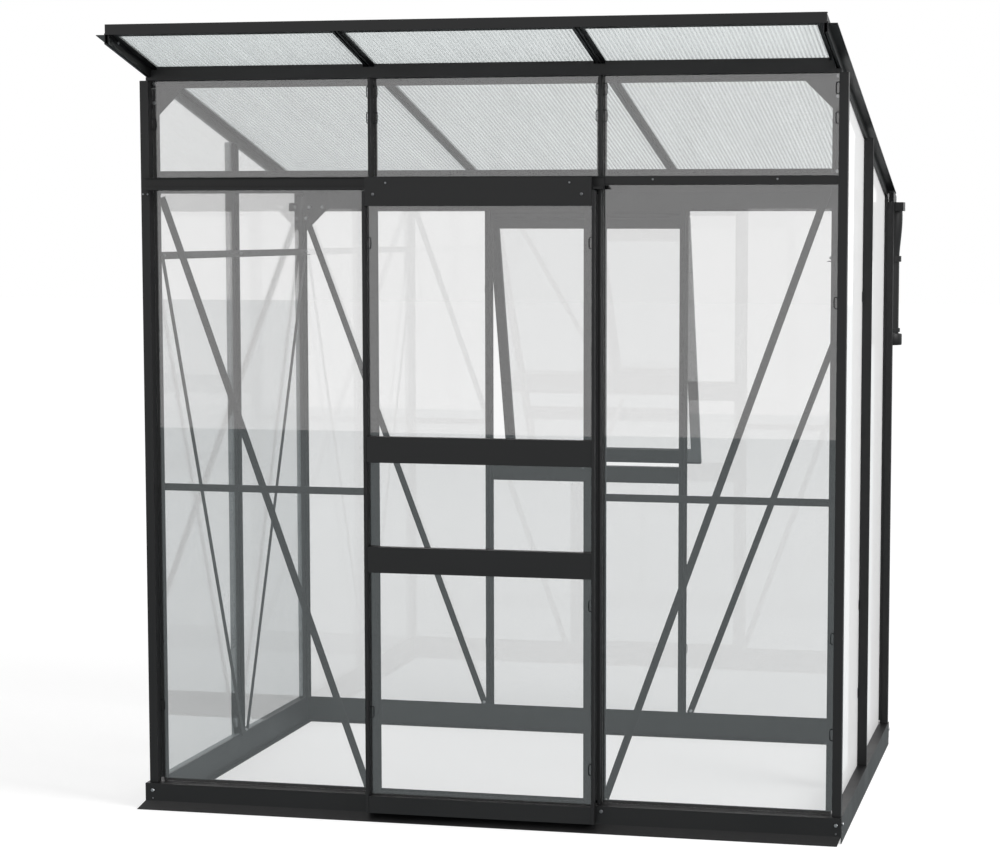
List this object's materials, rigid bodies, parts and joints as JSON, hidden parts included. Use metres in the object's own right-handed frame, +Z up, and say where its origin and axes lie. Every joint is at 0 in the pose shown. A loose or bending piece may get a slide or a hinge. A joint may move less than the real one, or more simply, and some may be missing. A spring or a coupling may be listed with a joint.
{
  "type": "lean to greenhouse",
  "caption": "Small aluminium-framed greenhouse with a single sloping roof, a sliding door in its tall wall and a hinged vent, gutter and downpipe at its low wall.",
  "frame": {"origin": "on the ground, at the middle of the front sill's foot", "axes": "+Z up, the tall wall with the door faces -Y, the roof falls towards +Y, +X to the right seen from the front"},
  "size_m": [1.982, 1.8386, 2.1351],
  "materials": {
    "coated_aluminium": "near-black satin powder coat",
    "glass": "clear 3 mm horticultural glass",
    "twin_wall": "clear twin-wall polycarbonate with fine ribs down the slope",
    "pipe_plastic": "black moulded plastic",
    "nylon": "moulded nylon",
    "zinc": "zinc plated steel"
  },
  "bodies": {
    "frame": {"base_sill_front": "coated_aluminium", "base_sill_back": "coated_aluminium", "base_sill_left": "coated_aluminium", "base_sill_right": "coated_aluminium", "corner_post_front_left": "coated_aluminium", "corner_post_front_right": "coated_aluminium", "corner_post_back_left": "coated_aluminium", "corner_post_back_right": "coated_aluminium", "door_post_left": "coated_aluminium", "door_post_right": "coated_aluminium", "back_post_left": "coated_aluminium", "back_post_right": "coated_aluminium", "side_post_left": "coated_aluminium", "side_post_right": "coated_aluminium", "eave_beam_front": "coated_aluminium", "eave_beam_back": "coated_aluminium", "front_crossbar": "coated_aluminium", "door_track": "coated_aluminium", "roof_bar_left": "coated_aluminium", "roof_bar_right": "coated_aluminium", "roof_edge_bar_left": "coated_aluminium", "roof_edge_bar_right": "coated_aluminium", "roof_fascia": "coated_aluminium", "roof_sheet_left": "twin_wall", "roof_sheet_middle": "twin_wall", "roof_sheet_right": "twin_wall", "front_bracing_left": "coated_aluminium", "front_bracing_right": "coated_aluminium", "back_brace_left": "coated_aluminium", "back_brace_right": "coated_aluminium", "side_bracing_left": "coated_aluminium", "side_bracing_right": "coated_aluminium", "vent_sill": "coated_aluminium", "front_pane_left": "glass", "front_pane_right": "glass", "transom_pane_left": "glass", "transom_pane_middle": "glass", "transom_pane_right": "glass", "back_pane_left": "glass", "back_pane_middle": "glass", "back_pane_right": "glass", "side_pane_left_front": "glass", "side_pane_left_back": "glass", "side_pane_right_front": "glass", "side_pane_right_back": "glass", "downpipe": "pipe_plastic"},
    "door": {"door_stile_left": "coated_aluminium", "door_stile_right": "coated_aluminium", "door_rail_upper": "coated_aluminium", "door_rail_lower": "coated_aluminium", "door_rail_bottom": "coated_aluminium", "door_header": "coated_aluminium", "door_pane_bottom": "glass", "door_pane_middle": "glass", "door_pane_top": "glass"},
    "wheel_left": {"door_wheel_left": "nylon"},
    "wheel_right": {"door_wheel_right": "nylon"},
    "vent": {"vent_frame": "coated_aluminium", "vent_pane": "glass"},
    "stay": {"vent_stay": "zinc"}
  },
  "joints": [
    {"name": "door_slide", "type": "slide", "parent": "frame", "child": "door", "axis": [-1, 0, 0], "range_m": [0, 0.6]},
    {"name": "wheel_left_spin", "type": "hinge", "parent": "door", "child": "wheel_left", "pos_m": [-0.268, -0.0583, 1.727], "axis": [0, 1, 0], "range_deg": [-2610, 10]},
    {"name": "wheel_right_spin", "type": "hinge", "parent": "door", "child": "wheel_right", "pos_m": [0.252, -0.0583, 1.727], "axis": [0, 1, 0], "range_deg": [-2610, 10]},
    {"name": "vent_hinge", "type": "hinge", "parent": "frame", "child": "vent", "pos_m": [0, 1.2677, 1.652], "axis": [1, 0, 0], "range_deg": [-16.5, 3.5]},
    {"name": "stay_pivot", "type": "hinge", "parent": "vent", "child": "stay", "pos_m": [0, 1.47428, 0.90177], "axis": [1, 0, 0], "range_deg": [-2.5, 11]}
  ],
  "couplings": [
    {"joint": "wheel_left_spin", "follows": "door_slide", "rad_per_m": -75.758},
    {"joint": "wheel_right_spin", "follows": "door_slide", "rad_per_m": -75.758},
    {"joint": "stay_pivot", "follows": "vent_hinge", "ratio": -0.64}
  ]
}
